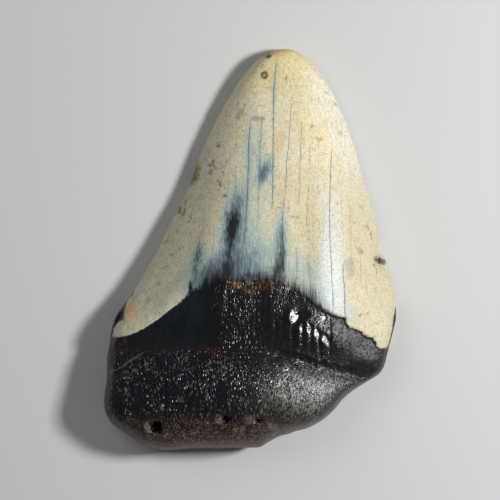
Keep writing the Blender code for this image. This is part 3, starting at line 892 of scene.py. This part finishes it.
def blued(r, f, enamel):
    """The enamel with its blue zones, broken into streaks, and a halo along each crack."""
    halo = r.times(r.between(r.absolute(r.mask("crack")), 1.1, 0.0), r.mask("crack_strength"))
    zones = r.times(r.mask("blue"), r.blend(r.between(f.streaks, 0.25, 0.75), 0.7, 1.25))
    blue = r.plus(r.plus(zones, r.times(halo, 0.16)), r.waver("blue clouds", 0.3))
    enamel = r.mix(r.between(blue, 0.05, 0.6), enamel, PALE_BLUE)
    enamel = r.mix(r.between(blue, 0.35, 1.05), enamel, BLUE_GREY)
    return r.mix(r.between(blue, 0.85, 1.6), enamel, DEEP_BLUE)


def specked(r, f, enamel):
    """The enamel with its painted highlight, a whitish band in place of the gloss's shine, and its fine
    dark specks.
    """
    # Painted highlight: a speckled whitish band down the crown's glossy stretch, where the key light
    # shines.
    band = r.times(r.between(r.across, 17.0, 21.0), r.between(r.across, 27.0, 23.0))
    band = r.times(band, r.between(r.along, 26.0, 0.0))
    enamel = r.tint(enamel, band, r.blend(r.grain("crown highlight grain"), 0.2, 0.9), HIGHLIGHT_WHITE)
    enamel = r.tint(enamel, r.between(f.sand, 0.4, 0.7), 0.36, SPECK)
    enamel = r.tint(enamel, r.dots(*ENAMEL_SPECKS)[0], 0.55, SPECK)
    return r.tint(enamel, r.dots(*ENAMEL_DOTS)[0], 0.9, ENAMEL_DOT)


def stained(r, f, enamel):
    """The enamel with its ochre, rust and dark stains, its dark lower fringe and its cracks."""
    uneven = r.patches("stain wear", 0.3, 0.6)
    enamel = r.tint(enamel, r.mask("ochre"), r.blend(uneven, 0.5, 0.9), OCHRE)
    enamel = r.mix(r.mask("rust"), enamel, RUST)
    fringe = r.times(r.between(f.edge, 4.0, 0.2), f.middle)
    strands = r.blend(r.patches("fringe strands", 0.36, 0.6), 0.45, 0.95)
    enamel = r.tint(enamel, fringe, strands, DEEP_BLUE)
    smear = r.between(r.plus(r.mask("dark"), r.waver("smear strands", 1.5)), 0.1, 1.0)
    smear = r.times(smear, r.between(r.mask("dark"), 0.0, 0.3))
    enamel = r.mix(smear, enamel, STAIN)
    spot = r.larger(r.mask("spot"), r.mask("ring"))
    enamel = r.tint(enamel, spot, r.blend(uneven, 0.7, 1.0), STAIN)
    return r.tint(enamel, f.crack, 0.85, CRACK_GREY)


def neck_colour(r):
    """The dark band under the enamel: teal at its smooth left end, flecked with ochre above."""
    smooth_end = r.times(r.between(r.across, -11.0, -15.0), r.between(r.across, -37.0, -34.0))
    smooth_end = r.times(smooth_end, r.patches("neck teal", 0.3, 0.55))
    neck = r.mix(smooth_end, NECK_BLACK, NECK_TEAL)
    brown = r.times(r.patches("neck brown", 0.5, 0.7), r.between(r.across, -16.0, -6.0))
    neck = r.tint(neck, brown, 0.6, NECK_BROWN)
    flecks = r.times(r.mask("fleck"), r.patches("neck flecks", 0.46, 0.72))
    return r.mix(flecks, neck, FLECK)


def root_colour(r, f):
    """The root: blue-black, browner to the right, and red-brown at the rim and the foot."""
    inward = r.mask("inward")
    brown = r.plus(r.between(r.across, -12.0, 8.0), r.waver("root brown", 1.2))
    root = r.mix(r.maths("MINIMUM", brown, 1.0), ROOT_BLUE, ROOT_BROWN)
    waves = r.waver("root waves", 7.0)
    furrow_line = r.absolute(r.plus(r.mask("furrow"), r.times(waves, 0.5)))
    in_furrow = r.between(furrow_line, 2.2, 0.4)
    root = r.tint(root, r.times(in_furrow, r.between(r.across, 2.0, -10.0)), 0.6, ROOT_RED)
    # Painted highlight: the larger lobe is painted pale grey in speckled patches, in place of the light's
    # sheen on its glossy black.
    lobe = r.times(r.mask("lobe"), r.between(inward, 1.0, 4.0))
    root = r.mix(r.times(lobe, r.patches("lobe highlight patches", 0.38, 0.64)), root, LOBE_PAINTED_HIGHLIGHT)
    rim = r.between(r.plus(inward, waves), 3.6, 0.6)
    root = r.mix(r.times(rim, r.between(r.across, -14.0, -26.0)), root, ROOT_RED)
    foot = r.between(r.plus(r.along, waves), -43.5, -51.0)
    left = r.between(r.across, -18.0, -34.0)
    root = r.mix(foot, root, FOOT_BROWN)
    root = r.tint(root, foot, left, ROOT_RED)

    # Pale grains and painted light: dashes in patches and along the rim, partly the root's pale grains and
    # partly painted glints; sand at the foot; and the holes' rims, with their painted lit walls.
    patches = r.larger(r.patches("root patches", 0.4, 0.6), r.between(inward, 3.0, 1.5))
    dashes = r.times(f.dashes, r.blend(patches, 0.05, 0.6))
    root = r.tint(root, dashes, r.blend(in_furrow, 1.0, 0.15), DASH_GREY)
    sand = r.times(r.dots(*FOOT_DOTS)[0], foot)
    root = r.tint(root, sand, r.blend(left, 0.9, 0.5), FOOT_GRAIN)
    # The holes' left walls are painted light here, as if lit from the right; the other pale marks are the
    # root's own.
    pale_and_lit_walls = r.times(r.mask("pale"), r.patches("pale mark breakup", 0.35, 0.55))
    root = r.mix(r.larger(pale_and_lit_walls, r.times(r.mask("hairline"), 0.7)), root, PALE_GRAIN_AND_LIT_WALL)
    # Painted shade: the nutrient holes are painted near black for the shade deep inside them.
    return r.mix(r.mask("hole"), root, HOLE_SHADE_BLACK)


def grain_height(r, f):
    """Height in millimetres of the grain that is too fine to carve."""
    lobe = r.mask("lobe")
    worn = r.larger(r.larger(f.foot, r.between(r.mask("inward"), 3.5, 1.5)), lobe)
    root = r.plus(r.times(f.domes, r.blend(lobe, *ROOT_DASH_HEIGHT)),
                  r.times(f.pits, r.blend(worn, *ROOT_PIT_HEIGHT)))
    unpolished = r.blend(r.mask("facet"), 1.0, FACET_GRAIN)
    grainy = r.times(r.between(r.across, -12.0, -6.0), unpolished)
    neck = r.plus(r.times(r.grain("neck strokes"), r.blend(grainy, *NECK_STROKE_HEIGHT)),
                  r.times(f.pits, r.blend(grainy, *NECK_PIT_HEIGHT)))
    neck = r.plus(neck, r.times(r.times(f.domes, NECK_DASH_HEIGHT), grainy))
    enamel = r.plus(r.times(f.sand, r.blend(f.gloss, *SAND_HEIGHT)),
                    r.times(f.streaks, STREAK_HEIGHT))
    enamel = r.plus(enamel, r.times(f.crack, -CRACK_DEPTH))
    return r.blend(f.on_enamel, r.blend(f.on_root, neck, root), enamel)


def surface_roughness(r, f):
    """Dull enamel with a glossier band in it, and a glossy neck band and root."""
    in_furrow = r.between(r.absolute(r.mask("furrow")), 2.2, 0.8)
    root = r.blend(f.foot, r.blend(r.mask("lobe"), *ROOT_ROUGHNESS), DULL_ROUGHNESS)
    root = r.blend(in_furrow, root, FURROW_ROUGHNESS)
    dull_end = r.between(r.plus(r.across, r.waver("neck sheen", 8.0)), 19.0, 27.0)
    neck = r.blend(dull_end, r.blend(r.mask("facet"), *NECK_ROUGHNESS), DULL_ROUGHNESS)
    enamel = r.blend(f.gloss, *ENAMEL_ROUGHNESS)
    return r.blend(f.on_enamel, r.blend(f.on_root, neck, root), enamel)


def fossil_material():
    """The one finish of the whole tooth."""
    material = bpy.data.materials.new("fossil_tooth")
    material.use_nodes = True
    surface = material.node_tree.nodes["Principled BSDF"]
    r = FossilRecipe(material.node_tree)
    f = tooth_fields(r)
    dark_end = r.mix(f.on_root, neck_colour(r), root_colour(r, f))
    enamel = stained(r, f, specked(r, f, blued(r, f, clouded_enamel(r, f))))
    bump = r.node("Bump", {"Strength": 1.0, "Distance": MM, "Height": grain_height(r, f)})
    r.feed(surface.inputs["Base Color"], r.mix(f.on_enamel, dark_end, enamel))
    r.feed(surface.inputs["Roughness"], surface_roughness(r, f))
    r.feed(surface.inputs["Normal"], bump.outputs[0])
    surface.inputs["IOR"].default_value = TOOTH_IOR
    return material


def floor_material():
    material = bpy.data.materials.new("pale_floor")
    material.use_nodes = True
    surface = material.node_tree.nodes["Principled BSDF"]
    surface.inputs["Base Color"].default_value = colour(FLOOR_GREY)
    surface.inputs["Roughness"].default_value = FLOOR_ROUGHNESS
    return material


def build_floor():
    mesh = bpy.data.meshes.new("floor")
    corners = [(-1, -1), (1, -1), (1, 1), (-1, 1)]
    mesh.from_pydata([(x * FLOOR_REACH, y * FLOOR_REACH, 0) for x, y in corners], [], [(0, 1, 2, 3)])
    mesh.materials.append(floor_material())
    floor = bpy.data.objects.new("floor", mesh)
    bpy.context.scene.collection.objects.link(floor)


def area_light(name, direction, distance, side, power):
    """A soft square light, aimed at the tooth."""
    data = bpy.data.lights.new(name, "AREA")
    data.size = side
    data.energy = power
    lamp = bpy.data.objects.new(name, data)
    lamp.location = Vector(direction).normalized() * distance
    lamp.rotation_euler = Vector(direction).to_track_quat("Z", "Y").to_euler()
    bpy.context.scene.collection.objects.link(lamp)
    return lamp


def light_studio():
    area_light("key_light", *KEY_LIGHT)
    fill = area_light("fill_light", *FILL_LIGHT)
    fill.visible_glossy = False
    world = bpy.data.worlds.new("studio")
    world.use_nodes = True
    background = world.node_tree.nodes["Background"]
    background.inputs["Color"].default_value = (*SKY_COLOUR, 1)
    background.inputs["Strength"].default_value = SKY_STRENGTH
    bpy.context.scene.world = world
    bpy.context.scene.view_settings.view_transform = "Standard"


def place_camera():
    """Straight above the tooth, as far off as a long lens needs."""
    data = bpy.data.cameras.new("camera")
    data.sensor_width = SENSOR_WIDTH
    data.lens = SENSOR_WIDTH * CAMERA_HEIGHT / FRAME_SIDE
    camera = bpy.data.objects.new("camera", data)
    camera.location = (*(measured(FRAME_MIDDLE) * MM), CAMERA_HEIGHT)
    bpy.context.scene.collection.objects.link(camera)
    bpy.context.scene.camera = camera


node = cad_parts["tooth"]
tooth = build_tooth_skin(node)
tooth.data.materials.clear()
tooth.data.materials.append(fossil_material())
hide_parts("tooth")
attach(tooth, "root")
build_floor()
light_studio()
place_camera()
